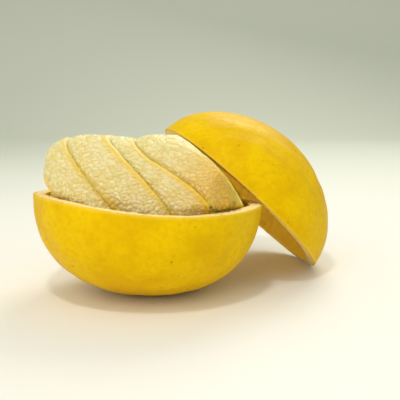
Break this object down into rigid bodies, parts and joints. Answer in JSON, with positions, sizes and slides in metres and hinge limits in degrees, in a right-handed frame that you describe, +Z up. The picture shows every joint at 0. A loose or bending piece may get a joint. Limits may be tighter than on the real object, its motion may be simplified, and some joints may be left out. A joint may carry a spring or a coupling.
{
  "type": "opened pomelo",
  "caption": "Pomelo opened at its middle: peeled segments piled in the lower half of the peel, with the upper half leaning over them.",
  "frame": {"origin": "in the small flat spot under the lower half of the peel, at the lowest point of its curve, on the surface it stands on", "axes": "+Z up, -Y towards the front where the segments show, +X to the right, where the upper half leans"},
  "size_m": [0.1959, 0.2077, 0.1114],
  "materials": {
    "peel": "satin yellow rind with fine oil pores, pale spongy pith on the cut and inside",
    "flesh": "moist pale yellow juice sacs"
  },
  "bodies": {
    "root": {"peel_lower": "peel", "peel_upper": "peel", "segment_1": "flesh", "segment_2": "flesh", "segment_3": "flesh", "segment_4": "flesh", "segment_5": "flesh", "segment_6": "flesh", "segment_7": "flesh"}
  },
  "joints": []
}
